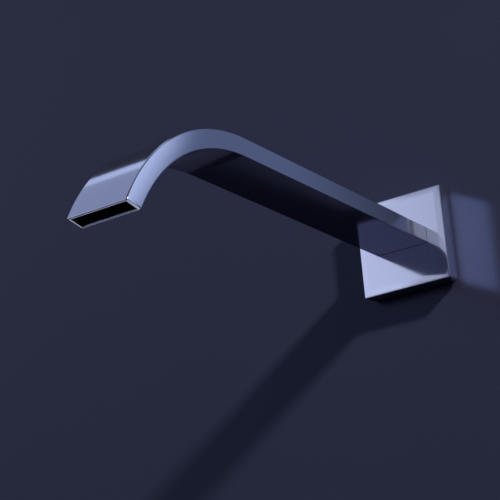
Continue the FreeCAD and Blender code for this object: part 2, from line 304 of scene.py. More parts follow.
def extrude(y):
    """Extrude what is selected along Y."""
    bpy.ops.mesh.extrude_region_move(TRANSFORM_OT_translate={"value": (0, y, 0)})


def face_outwards():
    """Turn every face of the mesh in edit mode outwards."""
    pick_all()
    bpy.ops.mesh.normals_make_consistent(inside=False)


def close_edit():
    """Turn every face outwards and leave edit mode."""
    face_outwards()
    clear_selection()


def add_bar(width, height, radius, y_back, y_front):
    """Closed straight bar along Y with rounded corners."""
    bar = add_section(width, height, radius, y_back)
    extrude(y_front - y_back)
    close_edit()
    return bar


def remove_faces(test):
    pick("FACE", test)
    bpy.ops.mesh.delete(type="ONLY_FACE")


def fill_rims():
    """Close the open rims with flat faces."""
    pick("EDGE", on_rim)
    bpy.ops.mesh.edge_face_add()


def join(pieces):
    """One object from several, in object mode."""
    make_active(pieces[0])
    for piece in pieces:
        piece.select_set(True)
    bpy.ops.object.join()
    return bpy.context.object


def combine(piece, cutter, operation):
    """Boolean of two closed pieces. The second one is used up."""
    make_active(piece)
    modifier = piece.modifiers.new("combine", "BOOLEAN")
    modifier.operation = operation
    modifier.solver = "EXACT"
    modifier.object = cutter
    bpy.ops.object.modifier_apply(modifier=modifier.name)
    bpy.data.objects.remove(cutter)
    if not piece.data.polygons:
        raise RuntimeError("nothing is left of " + piece.name)


def bridge(test):
    """Close the gap between two open loops."""
    pick("EDGE", test)
    bpy.ops.mesh.bridge_edge_loops()


def shift_rim(point, normal, distance):
    """Move the vertices that lie in a plane along its normal."""
    pick("VERT", lambda vert: abs((vert.co - point).dot(normal)) < TINY)
    bpy.ops.transform.translate(value=normal * distance)


def join_skins(outer, inner, rims):
    """Hollow piece, left in edit mode, from two open skins and the planes of their rims, each (point, normal).

    The inner rims are held a little apart while they are bridged, so that the loops match the right way round.
    """
    apart = 0.5 * MM
    edit(inner)
    for point, normal in rims:
        shift_rim(point, normal, apart)
    piece = join([outer, inner])
    bpy.ops.object.mode_set(mode="EDIT")
    for point, normal in rims:
        def near(edge):
            return all(-TINY < (vert.co - point).dot(normal) < apart + TINY for vert in edge.verts)
        bridge(lambda edge: on_rim(edge) and near(edge))
        shift_rim(point + normal * apart, normal, -apart)
    face_outwards()
    return piece


def sleeve(outer, inner, y_back, y_front):
    """Hollow bar along Y, left in edit mode, from two outlines, each (width, height, radius)."""
    skins = []
    for outline in (outer, inner):
        skin = add_section(*outline, y_back)
        extrude(y_front - y_back)
        remove_faces(lambda face: abs(face.normal.y) > 0.5)
        clear_selection()
        skins.append(skin)
    return join_skins(*skins, [(Vector((0, y_back, 0)), ROOM_SIDE), (Vector((0, y_front, 0)), -ROOM_SIDE)])


def round_edges(test, amount, steps):
    pick("EDGE", test)
    bpy.ops.mesh.bevel(offset=amount, segments=steps, affect="EDGES")


def turned(outline, bored=True):
    """Piece turned about Y from (radius, y) points. The outline of a bored one closes, a pin gets flat ends."""
    clear_selection()
    radius, y = outline[0]
    steps = sizes().turned_steps if bored else sizes().screw_steps
    bpy.ops.mesh.primitive_circle_add(vertices=steps, radius=radius, location=(0, y, 0), rotation=FACING_ROOM)
    piece = settle()
    bpy.ops.object.mode_set(mode="EDIT")
    pick_all("EDGE")
    for new_radius, new_y in outline[1:]:
        bpy.ops.mesh.extrude_edges_move(TRANSFORM_OT_translate={"value": (0, new_y - y, 0)})
        grow = new_radius / radius
        bpy.ops.transform.resize(value=(grow, 1, grow), center_override=(0, new_y, 0))
        radius, y = new_radius, new_y
    if bored:
        bridge(on_rim)
    else:
        fill_rims()
    close_edit()
    return piece


def smooth(piece):
    """Smooth shading that keeps sharp edges and leaves flat faces flat."""
    make_active(piece)
    bpy.ops.object.shade_smooth_by_angle(angle=SHARP)
    modifier = piece.modifiers.new("even shading", "WEIGHTED_NORMAL")
    modifier.mode = "FACE_AREA"
    modifier.keep_sharp = True
    bpy.ops.object.modifier_apply(modifier=modifier.name)


def dress(piece, name, body, finishes, node=None):
    """Name a finished piece, give it its finishes and make it ride on its body."""
    clear_selection()
    piece.name = name
    piece.data.name = name
    piece.data.materials.clear()
    for title in finishes:
        piece.data.materials.append(finish(title))
    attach(piece, body)
    if node:
        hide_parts(node)


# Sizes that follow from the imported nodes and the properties

def tube_width():
    low, high = NODE_BOX["spout_tube"]
    return high.x - low.x


def tube_height():
    return 2 * NODE_BOX["spout_tube"][1].z


def tube_end():
    """Where the tube ends in the flange, along Y."""
    return NODE_BOX["spout_tube"][1].y


def around_tube(gap):
    """Width, height and corner radius of the tube's outline, grown by a gap all round."""
    return tube_width() + 2 * gap, tube_height() + 2 * gap, sizes().tube_edge_radius + gap


def around_grommet(gap):
    """Width, height and corner radius of the grommet's outline, grown by a gap all round."""
    low, high = NODE_BOX["plate_grommet"]
    width = high.x - low.x + 2 * gap
    height = high.z - low.z + 2 * gap
    return width, height, sizes().tube_edge_radius + (width - tube_width()) / 2


def bend_axis():
    """Point below the start of the bend that the tube turns about."""
    return Vector((0, -sizes().straight_run, -tube_height() / 2 - sizes().bend_radius))


def mouth_plane():
    """Middle of the mouth and the direction square to it, pointing back up the tube."""
    s = sizes()
    middle_radius = s.bend_radius + tube_height() / 2
    middle = bend_axis() + Vector((0, -math.sin(s.bend_angle), math.cos(s.bend_angle))) * middle_radius
    return middle, Vector((0, math.sin(s.mouth_tilt), math.cos(s.mouth_tilt)))


def screw_places():
    """Shifts from the middle to the four screws on the flange."""
    high = NODE_BOX["flange_screws"][1]
    x = high.x - sizes().screw_head_radius
    z = high.z - sizes().screw_head_radius
    return [Matrix.Translation((x * right, 0, z * up)) for right, up in ((1, 1), (-1, 1), (-1, -1), (1, -1))]


def drill(piece, outline):
    """Cut a round hole at each screw's place, turned from (radius, y) points."""
    for shift in screw_places():
        hole = turned(outline, bored=False)
        hole.data.transform(shift)
        combine(piece, hole, "DIFFERENCE")


# Shader nodes

def feed(tree, node, inputs):
    """Set inputs of a node, by name or number, to plain values, or link them where a socket is given."""
    for title, value in inputs.items():
        if isinstance(value, bpy.types.NodeSocket):
            tree.links.new(value, node.inputs[title])
        else:
            node.inputs[title].default_value = value


def add_node(tree, kind, inputs=None, **settings):
    """New node with its settings and what feeds its inputs."""
    node = tree.nodes.new(kind)
    for setting, value in settings.items():
        setattr(node, setting, value)
    feed(tree, node, inputs or {})
    return node


def math_node(tree, operation, first, second=0.0):
    """Sum, product or the like of two sockets or numbers, as an output."""
    return add_node(tree, "ShaderNodeMath", {0: first, 1: second}, operation=operation).outputs[0]


def range_node(tree, value, low, high, new_low=0.0, new_high=1.0):
    """Value mapped from one range to another, as an output."""
    inputs = {"Value": value, "From Min": low, "From Max": high, "To Min": new_low, "To Max": new_high}
    return add_node(tree, "ShaderNodeMapRange", inputs).outputs["Result"]


def noise_node(tree, place, scale, detail, roughness=0.5):
    """Noise on given coordinates, as an output. The scale is a socket or a number."""
    inputs = {"Vector": place, "Scale": scale, "Detail": detail, "Roughness": roughness}
    return add_node(tree, "ShaderNodeTexNoise", inputs).outputs["Fac"]


def object_place(tree):
    """Object coordinates, as an output."""
    return add_node(tree, "ShaderNodeTexCoord").outputs["Object"]


def axes(tree, vector):
    """Outputs X, Y and Z of a vector."""
    return add_node(tree, "ShaderNodeSeparateXYZ", {"Vector": vector}).outputs


def bump(tree, height, distance):
    """Normal of a relief, as an output."""
    inputs = {"Strength": 1.0, "Distance": distance, "Height": height}
    return add_node(tree, "ShaderNodeBump", inputs).outputs["Normal"]


def mixed_colour(tree, mask, first, second):
    """Colour that goes from the first to the second by a mask, as an output."""
    node = add_node(tree, "ShaderNodeMix", {"Factor": mask}, data_type="RGBA")
    for title, value in (("A", first), ("B", second)):
        socket = next(s for s in node.inputs if s.name == title and s.type == "RGBA")
        socket.default_value = (*value, 1.0)
    return next(s for s in node.outputs if s.type == "RGBA")


# Shader node groups: effects that several finishes share

def new_group(name, inputs, outputs):
    """Group with sockets for numbers. Returns it and what its inputs give."""
    group = bpy.data.node_groups.new(name, "ShaderNodeTree")
    for way, titles in (("INPUT", inputs), ("OUTPUT", outputs)):
        for title in titles:
            group.interface.new_socket(title, in_out=way, socket_type="NodeSocketFloat")
    return group, add_node(group, "NodeGroupInput").outputs


def buffed_polish(name):
    """Polished plating: faint wiped haze, hairlines and the slight waviness of a buffed surface."""
    group, given = new_group(name, ("Haze Scale", "Wave Scale"), ("Haze", "Hairlines", "Wave"))
    place = object_place(group)
    haze = noise_node(group, place, given["Haze Scale"], detail=4.0, roughness=0.6)
    stretch = add_node(group, "ShaderNodeMapping", {"Vector": place, "Scale": (3200.0, 90.0, 3200.0)})
    lines = noise_node(group, stretch.outputs["Vector"], scale=1.0, detail=2.0)
    add_node(group, "NodeGroupOutput", {
        "Haze": range_node(group, haze, 0.35, 0.75),
        "Hairlines": range_node(group, lines, 0.55, 0.8),
        "Wave": noise_node(group, place, given["Wave Scale"], detail=0.0),
    })
    return group


def turning_marks(name):
    """Turned metal: fine rings about Y, and patches of tarnish."""
    group, given = new_group(name, ("Rings",), ("Marks", "Patches"))
    place = object_place(group)
    axis = axes(group, place)
    x_square = math_node(group, "MULTIPLY", axis["X"], axis["X"])
    z_square = math_node(group, "MULTIPLY", axis["Z"], axis["Z"])
    radius = math_node(group, "SQRT", math_node(group, "ADD", x_square, z_square))
    along = math_node(group, "MULTIPLY", math_node(group, "ADD", radius, axis["Y"]), given["Rings"])
    rings = add_node(group, "ShaderNodeTexNoise", {"W": along, "Detail": 3.0}, noise_dimensions="1D")
    patches = noise_node(group, place, scale=160.0, detail=5.0, roughness=0.6)
    add_node(group, "NodeGroupOutput", {
        "Marks": range_node(group, rings.outputs["Fac"], 0.25, 0.75),
        "Patches": range_node(group, patches, 0.4, 0.75),
    })
    return group


def moulded_grain(name):
    """Moulded or foamed material: fine grain, cells and broad unevenness."""
    group, given = new_group(name, ("Cell Scale",), ("Grain", "Cells", "Patches"))
    place = object_place(group)
    grain = noise_node(group, place, scale=2500.0, detail=3.0)
    cells = add_node(group, "ShaderNodeTexVoronoi", {"Vector": place, "Scale": given["Cell Scale"]})
    patches = noise_node(group, place, scale=120.0, detail=3.0)
    add_node(group, "NodeGroupOutput", {
        "Grain": range_node(group, grain, 0.3, 0.7),
        "Cells": range_node(group, cells.outputs["Distance"], 0.15, 0.7),
        "Patches": range_node(group, patches, 0.35, 0.7),
    })
    return group


def shared_group(tree, build, values):
    """Outputs of a group placed in a tree with its own values. It is built the first time."""
    name = build.__name__
    group = bpy.data.node_groups.get(name) or build(name)
    return add_node(tree, "ShaderNodeGroup", values, node_tree=group).outputs


# Finishes

def new_tree(name):
    """Material with an empty tree. Returns both."""
    material = bpy.data.materials.new(name)
    material.use_nodes = True
    material.node_tree.nodes.clear()
    return material, material.node_tree


def new_material(name):
    """Material with the surface shader and the output. Returns it, its tree and the shader."""
    material, tree = new_tree(name)
    shader = add_node(tree, "ShaderNodeBsdfPrincipled")
    add_node(tree, "ShaderNodeOutputMaterial", {"Surface": shader.outputs["BSDF"]})
    return material, tree, shader


def polished(name, main, haze, haze_scale, wave_scale, rough, smear, wave):
    """Plating with a roughness range, the share of its hairlines and the height of its waves."""
    material, tree, shader = new_material(name)
    polish = shared_group(tree, buffed_polish, {"Haze Scale": haze_scale, "Wave Scale": wave_scale})
    gloss = range_node(tree, polish["Haze"], 0.0, 1.0, *rough)
    hairlines = math_node(tree, "MULTIPLY", polish["Hairlines"], smear)
    feed(tree, shader, {
        "Base Color": mixed_colour(tree, polish["Haze"], main, haze),
        "Metallic": 1.0,
        "Roughness": math_node(tree, "ADD", gloss, hairlines),
        "Normal": bump(tree, polish["Wave"], wave),
    })
    return material


def turned_metal(name, bright, dark, rings, rough):
    """Turned brass or steel with a roughness range."""
    material, tree, shader = new_material(name)
    marks = shared_group(tree, turning_marks, {"Rings": rings})
    feed(tree, shader, {
        "Base Color": mixed_colour(tree, marks["Patches"], bright, dark),
        "Metallic": 1.0,
        "Roughness": range_node(tree, marks["Marks"], 0.0, 1.0, *rough),
        "Normal": bump(tree, marks["Marks"], distance=0.02 * MM),
    })
    return material


def moulded(name, main, shade, shaded_by, rough, cell_scale, raised_by, height):
    """Rubber, foam, fibre or plastic, shaded and raised by outputs of the grain group."""
    material, tree, shader = new_material(name)
    grain = shared_group(tree, moulded_grain, {"Cell Scale": cell_scale})
    feed(tree, shader, {
        "Base Color": mixed_colour(tree, grain[shaded_by], main, shade),
        "Roughness": range_node(tree, grain["Grain"], 0.0, 1.0, *rough),
        "Normal": bump(tree, grain[raised_by], height),
    })
    return material


# For each finish, how it is built, its two colours and the values that its builder names
FINISHES = {
    "mirror_chrome": (polished, "chrome", "chrome_haze", 45.0, 30.0, (0.006, 0.016), 0.006, 0.012 * MM),
    # The bore's two near-black colours are painted shade inside the tube, laid on dull plating.
    "dull_bore": (polished, "bore", "pore", 220.0, 300.0, (0.35, 0.6), 0.0, 0.05 * MM),
    "turned_brass": (turned_metal, "brass", "brass_dark", 5200.0, (0.2, 0.38)),
    "stainless": (turned_metal, "steel", "steel_dark", 8000.0, (0.22, 0.4)),
    "black_rubber": (moulded, "rubber", "rubber_dust", "Patches", (0.5, 0.7), 1600.0, "Grain", 0.02 * MM),
    # The foam's pores, dimpled by the cells' bump, are also painted near black: painted shade in them.
    "grey_foam": (moulded, "pore", "foam", "Cells", (0.8, 0.95), 1500.0, "Cells", 0.12 * MM),
    "red_fibre": (moulded, "fibre", "fibre_fleck", "Grain", (0.6, 0.8), 900.0, "Grain", 0.03 * MM),
    "white_acetal": (moulded, "white", "white_shade", "Patches", (0.35, 0.5), 1600.0, "Grain", 0.008 * MM),
    "black_acetal": (moulded, "black", "black_shade", "Patches", (0.55, 0.75), 1600.0, "Grain", 0.008 * MM),
}


def finish(name):
    """Material by its name, built the first time."""
    build, main, shade, *values = FINISHES[name]
    colours = bpy.context.scene.spout_finish
    return bpy.data.materials.get(name) or build(name, getattr(colours, main), getattr(colours, shade), *values)


# Pieces

def tube_skin(width, height, radius):
    """Open skin of the tube: out from the flange, round the bend and down to the slanted mouth.

    A short last ring keeps the straight run's shading flat. The bend's last step goes past the mouth's cut.
    """
    s = sizes()
    ring = 0.5 * MM
    spare = 1.2
    slant = math.pi / 2 - s.bend_angle - s.mouth_tilt
    past_cut = spare * (tube_height() / 2) * math.tan(slant) / s.bend_radius
    skin = add_section(width, height, radius, tube_end())
    extrude(-s.straight_run + ring - tube_end())
    extrude(-ring)
    for steps, turn in ((s.bend_steps, s.bend_angle - past_cut), (1, 2 * past_cut)):
        bpy.ops.mesh.spin(steps=steps, angle=turn, center=bend_axis(), axis=(-1, 0, 0))
    bpy.ops.mesh.delete(type="ONLY_FACE")
    remove_faces(lambda face: all(abs(vert.co.y - tube_end()) < TINY for vert in face.verts))
    middle, up_tube = mouth_plane()
    pick_all()
    bpy.ops.mesh.bisect(plane_co=middle, plane_no=up_tube, clear_inner=True, use_fill=False, threshold=TINY)
    clear_selection()
    return skin


class SPOUT_OT_tube(bpy.types.Operator):
    """Model the flat bent tube with its thin wall and slanted mouth"""
    bl_idname = "spout.tube"
    bl_label = "Chromed tube"
    bl_options = {"REGISTER", "UNDO"}

    def execute(self, context):
        s = sizes()
        wall = s.tube_wall
        outer = tube_skin(tube_width(), tube_height(), s.tube_edge_radius)
        inner = tube_skin(tube_width() - 2 * wall, tube_height() - 2 * wall, s.bore_edge_radius)
        mouth = mouth_plane()
        tube = join_skins(outer, inner, [mouth, (Vector((0, tube_end(), 0)), ROOM_SIDE)])
        in_mouth = edges_in_plane(*mouth)

        def lip(edge):
            return in_mouth(edge) and edge.calc_face_angle(0.0) > SHARP

        def bore_lip(edge):
            return lip(edge) and self.in_bore((edge.verts[0].co + edge.verts[1].co) / 2)

        round_edges(bore_lip, s.bore_lip_round, steps=4)
        round_edges(lip, s.lip_round, steps=6)
        # Faces in the bore take the near-black finish, which paints the shade inside the tube.
        for face in bmesh.from_edit_mesh(tube.data).faces:
            face.material_index = 1 if self.in_bore(face.calc_center_median()) else 0
        clear_selection()
        smooth(tube)
        dress(tube, "chromed_tube", "spout", ["mirror_chrome", "dull_bore"], "spout_tube")
        return {"FINISHED"}

    def in_bore(self, point):
        """True for a point inside the tube's bore or on its wall."""
        s = sizes()
        axis = bend_axis()
        half_width = tube_width() / 2 - s.tube_wall + TINY
        inner = s.bend_radius + s.tube_wall - TINY
        outer = s.bend_radius + tube_height() - s.tube_wall + TINY
        radius = point.z - axis.z if point.y > axis.y else (point - axis).yz.length
        return abs(point.x) < half_width and inner < radius < outer


class SPOUT_OT_plate(bpy.types.Operator):
    """Model the square cover plate with its cushioned border, cavity and opening"""
    bl_idname = "spout.plate"
    bl_label = "Cover plate"
    bl_options = {"REGISTER", "UNDO"}

    def execute(self, context):
        s = sizes()
        low, high = NODE_BOX["wall_plate"]
        front, back = low.y, high.y
        border = front + s.cushion_depth
        side = high.x - low.x
        clear_selection()
        bpy.ops.mesh.primitive_cube_add(size=1, location=(0, (border + back) / 2, 0))
        plate = settle((side, back - border, side))
        bpy.ops.object.mode_set(mode="EDIT")
        self.cushion(front, border)
        clear_selection()
        clear = s.plate_face_wall
        corners = add_bar(side, side, s.plate_corner_radius, back + clear, front - clear)
        combine(plate, corners, "INTERSECT")
        inner = side - 2 * s.plate_wall
        cavity = add_bar(inner, inner, s.cavity_corner_radius, back + clear, front + s.plate_face_wall)
        combine(plate, cavity, "DIFFERENCE")
        self.open_for_tube(plate, front, back)
        smooth(plate)
        dress(plate, "cover_plate", "cover", ["mirror_chrome"], "wall_plate")
        return {"FINISHED"}

    def cushion(self, front, border):
        """Raise the flat of the face, roll it back to the border in an even curve and round the border."""
        s = sizes()
        left_flat = 1.2 * s.border_round
        pick("FACE", lambda face: face.normal.dot(ROOM_SIDE) > 0.5)
        bpy.ops.mesh.inset(thickness=(s.cushion_width + left_flat) / 2, depth=s.cushion_depth)
        roll = (s.cushion_width - left_flat) / 2
        round_edges(edges_in_plane(Vector((0, front, 0)), ROOM_SIDE), roll, steps=14)
        round_edges(edges_in_plane(Vector((0, border, 0)), ROOM_SIDE), s.border_round, steps=4)

    def open_for_tube(self, plate, front, back):
        """Collar, grommet seat and opening round the tube."""
        s = sizes()
        cavity = front + s.plate_face_wall
        collar = around_grommet(s.close_gap + s.collar_wall)
        combine(plate, add_bar(*collar, cavity + s.collar_height, cavity - s.border_round), "UNION")
        seat = around_grommet(s.close_gap)
        combine(plate, add_bar(*seat, back, NODE_BOX["plate_grommet"][0].y), "DIFFERENCE")
        opening = around_tube(s.opening_gap)
        combine(plate, add_bar(*opening, back, front - s.opening_gap), "DIFFERENCE")


class SPOUT_OT_seals(bpy.types.Operator):
    """Model the foam gasket behind the plate and the rubber grommet round the tube"""
    bl_idname = "spout.seals"
    bl_label = "Gasket and grommet"
    bl_options = {"REGISTER", "UNDO"}

    def execute(self, context):
        s = sizes()
        low, high = NODE_BOX["plate_gasket"]
        outer = high.x - low.x
        inner = outer - 2 * s.gasket_width
        corner = s.gasket_corner_radius
        gasket = self.soft_frame("plate_gasket", (outer, outer, corner), (inner, inner, corner))
        dress(gasket, "foam_gasket", "cover", ["grey_foam"], "plate_gasket")
        grommet = self.soft_frame("plate_grommet", around_grommet(0), around_tube(s.close_gap))
        dress(grommet, "grip_grommet", "cover", ["black_rubber"], "plate_grommet")
        return {"FINISHED"}

    def soft_frame(self, node, outer, inner):
        """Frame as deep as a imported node, with rounded edges on its two flat ends."""
        low, high = NODE_BOX[node]
        piece = sleeve(outer, inner, high.y, low.y)
        round_edges(lambda edge: edge.calc_face_angle(0.0) > SQUARE, sizes().soft_round, steps=3)
        clear_selection()
        smooth(piece)
        return piece


class SPOUT_OT_flange(bpy.types.Operator):
    """Model the brazed flange with its spigot, socket and screw holes, and the bead round the tube"""
    bl_idname = "spout.flange"
    bl_label = "Brazed flange"
    bl_options = {"REGISTER", "UNDO"}

    def execute(self, context):
        s = sizes()
        low, high = NODE_BOX["tube_flange"]
        joint = NODE_BOX["wall_base"][0].y
        radius = high.x
        edge = s.flange_chamfer
        outline = [(s.spigot_bore, low.y), (radius - edge, low.y), (radius, low.y + edge),
                   (radius, joint - edge), (radius - edge, joint), (s.spigot_radius, joint)]
        for ring in ("spigot_o_ring_front", "spigot_o_ring_rear"):
            outline += self.groove(ring)
        outline += [(s.spigot_radius, high.y), (s.spigot_bore, high.y)]
        flange = turned(outline)
        combine(flange, add_bar(*around_tube(s.close_gap), tube_end(), low.y - edge), "DIFFERENCE")
        gap = s.screw_hole_gap
        head = s.screw_head_radius - s.screw_radius
        drill(flange, [(s.screw_head_radius + gap + edge, low.y - edge), (s.screw_radius + gap, low.y + head),
                       (s.screw_radius + gap, joint + edge)])
        smooth(flange)
        dress(flange, "brazed_flange", "spout", ["turned_brass"], "tube_flange")
        dress(self.bead(low.y), "braze_bead", "spout", ["turned_brass"])
        return {"FINISHED"}

    def groove(self, ring):
        """Outline of one O-ring groove."""
        s = sizes()
        low, high = NODE_BOX[ring]
        floor = high.x - (high.y - low.y) - 2 * s.close_gap
        front, back = low.y - s.groove_slack, high.y + s.groove_slack
        return [(s.spigot_radius, front), (floor, front), (floor, back), (s.spigot_radius, back)]

    def bead(self, front):
        """Small sloped bead between the flange's face and the tube."""
        leg = sizes().bead
        width, height, radius = around_tube(leg)
        base = add_section(width, height, radius, front)
        extrude(-leg)
        bpy.ops.transform.resize(value=(tube_width() / width, 1, tube_height() / height),
                                 center_override=(0, front - leg, 0))
        close_edit()
        combine(base, add_bar(*around_tube(0), front + leg, front - 2 * leg), "DIFFERENCE")
        smooth(base)
        return base


class SPOUT_OT_screws(bpy.types.Operator):
    """Model one countersunk screw with a hexagon socket, and copy it to the four places"""
    bl_idname = "spout.screws"
    bl_label = "Flange screws"
    bl_options = {"REGISTER", "UNDO"}

    def execute(self, context):
        s = sizes()
        low, high = NODE_BOX["flange_screws"]
        head = s.screw_head_radius - s.screw_radius
        tip = s.screw_radius / 3
        rim = s.flange_chamfer / 4
        first = turned([(s.screw_head_radius - rim, low.y), (s.screw_head_radius, low.y + rim),
                        (s.screw_radius, low.y + head), (s.screw_radius, high.y - tip),
                        (s.screw_radius - tip, high.y)], bored=False)
        clear_selection()
        bpy.ops.mesh.primitive_cylinder_add(vertices=6, radius=s.screw_socket / math.sqrt(3),
                                            depth=2 * s.screw_socket_depth, location=(0, low.y, 0),
                                            rotation=FACING_ROOM)
        combine(first, settle(), "DIFFERENCE")
        copies = []
        for shift in screw_places():
            screw = first.copy()
            screw.data = first.data.copy()
            bpy.context.scene.collection.objects.link(screw)
            screw.data.transform(shift)
            copies.append(screw)
        bpy.data.objects.remove(first)
        screws = join(copies)
        smooth(screws)
        dress(screws, "countersunk_screws", "spout", ["stainless"], "flange_screws")
        return {"FINISHED"}


class SPOUT_OT_base(bpy.types.Operator):
    """Model the base that screws into the wall, with its wrench flats and pipe thread"""
    bl_idname = "spout.base"
    bl_label = "Threaded base"
    bl_options = {"REGISTER", "UNDO"}

    def execute(self, context):
        s = sizes()
        base = turned(self.outline())
        low, high = NODE_BOX["wall_base"]
        edit(base)
        for side in (1, -1):
            pick_all()
            bpy.ops.mesh.bisect(plane_co=(side * high.x, 0, 0), plane_no=(side, 0, 0), clear_outer=True,
                                use_fill=True, threshold=TINY)
        close_edit()
        hole = s.screw_radius + s.screw_thread_gap
        tip = NODE_BOX["flange_screws"][1].y
        drill(base, [(hole, low.y - s.flange_chamfer), (hole, tip + s.screw_tip_gap)])
        smooth(base)
        dress(base, "threaded_base", "spout", ["turned_brass"], "wall_base")
        dress(self.thread(high.y), "pipe_thread", "spout", ["turned_brass"])
        return {"FINISHED"}

    def outline(self):
        """Half section of the base, from its front bore round to the same bore."""
        s = sizes()
        low, high = NODE_BOX["wall_base"]
        washer_low, washer_high = NODE_BOX["thread_washer"]
        regulator_low, regulator_high = NODE_BOX["flow_regulator"]
        bore = s.spigot_radius + s.close_gap
        radius = high.z
        edge = s.flange_chamfer
        seat = washer_high.x + 2 * s.close_gap
        pocket = regulator_high.x + 2 * s.close_gap
        shoulder = regulator_low.y - 2 * s.close_gap
        bore_end = NODE_BOX["tube_flange"][1].y + s.groove_slack
        return [
            (bore, low.y), (radius - edge, low.y), (radius, low.y + edge), (radius, -edge), (radius - edge, 0),
            (seat, 0), (seat, washer_low.y), (s.thread_relief, washer_low.y), (s.thread_relief, s.thread_start),
            (s.thread_root, s.thread_start), (s.thread_root, high.y), (pocket, high.y), (pocket, shoulder),
            (s.web_bore, shoulder), (s.web_bore, bore_end), (bore, bore_end),
        ]

    def thread(self, end):
        """Helical ridge, trimmed to the thread's envelope with its lead-in chamfers."""
        s = sizes()
        foot = 0.96 * s.thread_pitch
        crest_of_foot = 0.16
        inner = s.thread_root - s.thread_sink
        middle = (s.thread_radius + inner) / 2
        ridge = add_plane(s.thread_radius - inner, foot, (middle, s.thread_start, 0))
        bpy.ops.object.mode_set(mode="EDIT")
        pick("VERT", lambda vert: vert.co.x > middle)
        bpy.ops.transform.resize(value=(1, crest_of_foot, 1),
                                 center_override=(s.thread_radius, s.thread_start, 0))
        pick_all()
        bpy.ops.mesh.delete(type="ONLY_FACE")
        make_active(ridge)
        screw = ridge.modifiers.new("thread", "SCREW")
        screw.axis = "Y"
        screw.screw_offset = s.thread_pitch
        screw.iterations = math.ceil((end - s.thread_start) / s.thread_pitch) + 1
        screw.steps = screw.render_steps = s.thread_steps
        screw.use_merge_vertices = False
        bpy.ops.object.modifier_apply(modifier=screw.name)
        edit(ridge)
        fill_rims()
        close_edit()
        lead = s.thread_radius - s.thread_root
        envelope = turned([(inner + TINY, s.thread_start), (s.thread_root, s.thread_start),
                           (s.thread_radius, s.thread_start + lead), (s.thread_radius, end - s.thread_chamfer),
                           (s.thread_radius - s.thread_chamfer, end), (inner + TINY, end)])
        combine(ridge, envelope, "INTERSECT")
        smooth(ridge)
        return ridge


class SPOUT_OT_small_parts(bpy.types.Operator):
    """Give the washer, O-rings, regulator, screen and straightener their finishes"""
    bl_idname = "spout.small_parts"
    bl_label = "Small parts"
    bl_options = {"REGISTER", "UNDO"}

    def execute(self, context):
        finishes = {
            "thread_washer": "red_fibre",
            "spigot_o_ring_front": "black_rubber",
            "spigot_o_ring_rear": "black_rubber",
            "regulator_ring": "black_rubber",
            "flow_regulator": "white_acetal",
            "inlet_screen": "stainless",
            "stream_straightener": "black_acetal",
        }
        for node, name in finishes.items():
            for slot in frame["nodes"][node].material_slots:
                slot.material = finish(name)
        return {"FINISHED"}


# Stage. The room's colour goes by height, from 0 straight down to 1 straight up. Its shades come in between two
# values of one part of the view's direction, and each leaves a share of the light.

LOW_UP_TO, PALE_FROM_TO, HIGH_FROM = 0.46, (0.54, 0.72), 0.9
OVERHEAD, AHEAD, CEILING_LEAVES = (0.5, 0.7), (-0.12, -0.3), 0.2
MIDDLE_FROM, MIDDLE_SHADE = (-0.47, -0.38), 0.42
RIGHT_FROM, RIGHT_LEAVES = (0.36, 0.46), 0.12


